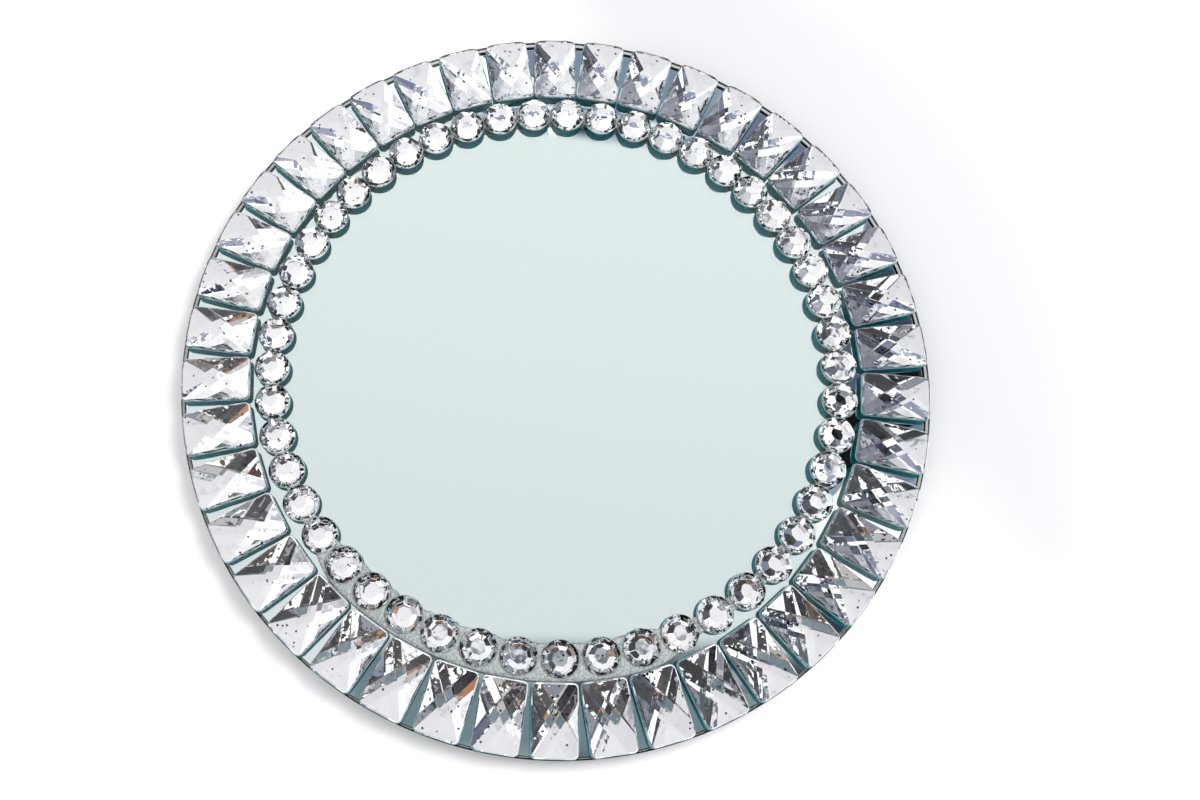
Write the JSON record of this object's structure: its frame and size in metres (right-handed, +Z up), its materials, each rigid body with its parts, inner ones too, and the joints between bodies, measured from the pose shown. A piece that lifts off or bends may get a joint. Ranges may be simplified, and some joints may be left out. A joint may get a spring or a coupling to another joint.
{
  "type": "charger plate",
  "caption": "Round mirror charger plate with a rim of rectangular cut stones round a ring of smaller round stones, on small bumpers.",
  "frame": {"origin": "on the table, under the middle of the disc", "axes": "+Z up out of the mirror face, +Y towards the top of the plate in the picture"},
  "size_m": [0.33, 0.33, 0.015],
  "materials": {
    "mirror_glass": "polished clear float glass, faintly green, ground edge",
    "silver_coat": "mirror silver",
    "backing_paint": "grey mirror backing paint",
    "bumper": "clear soft polyurethane",
    "rect_stone": "clear cut stone with a foil back",
    "round_stone": "clear cut stones with a foil back on a clear frosty adhesive bead"
  },
  "bodies": {
    "root": {"mirror_glass": "mirror_glass", "silver_coat": "silver_coat", "backing_paint": "backing_paint", "bumper_1": "bumper", "bumper_2": "bumper", "bumper_3": "bumper", "bumper_4": "bumper", "rect_stone_01": "rect_stone", "rect_stone_02": "rect_stone", "rect_stone_03": "rect_stone", "rect_stone_04": "rect_stone", "rect_stone_05": "rect_stone", "rect_stone_06": "rect_stone", "rect_stone_07": "rect_stone", "rect_stone_08": "rect_stone", "rect_stone_09": "rect_stone", "rect_stone_10": "rect_stone", "rect_stone_11": "rect_stone", "rect_stone_12": "rect_stone", "rect_stone_13": "rect_stone", "rect_stone_14": "rect_stone", "rect_stone_15": "rect_stone", "rect_stone_16": "rect_stone", "rect_stone_17": "rect_stone", "rect_stone_18": "rect_stone", "rect_stone_19": "rect_stone", "rect_stone_20": "rect_stone", "rect_stone_21": "rect_stone", "rect_stone_22": "rect_stone", "rect_stone_23": "rect_stone", "rect_stone_24": "rect_stone", "rect_stone_25": "rect_stone", "rect_stone_26": "rect_stone", "rect_stone_27": "rect_stone", "rect_stone_28": "rect_stone", "rect_stone_29": "rect_stone", "rect_stone_30": "rect_stone", "rect_stone_31": "rect_stone", "rect_stone_32": "rect_stone", "rect_stone_33": "rect_stone", "rect_stone_34": "rect_stone", "rect_stone_35": "rect_stone", "rect_stone_36": "rect_stone", "rect_stone_37": "rect_stone", "rect_stone_38": "rect_stone", "rect_stone_39": "rect_stone", "rect_stone_40": "rect_stone", "rect_stone_41": "rect_stone", "rect_stone_42": "rect_stone", "round_stone_strip_1": "round_stone", "round_stone_strip_2": "round_stone", "round_stone_strip_3": "round_stone", "round_stone_strip_4": "round_stone", "round_stone_strip_5": "round_stone", "round_stone_strip_6": "round_stone", "round_stone_strip_7": "round_stone"}
  },
  "joints": []
}
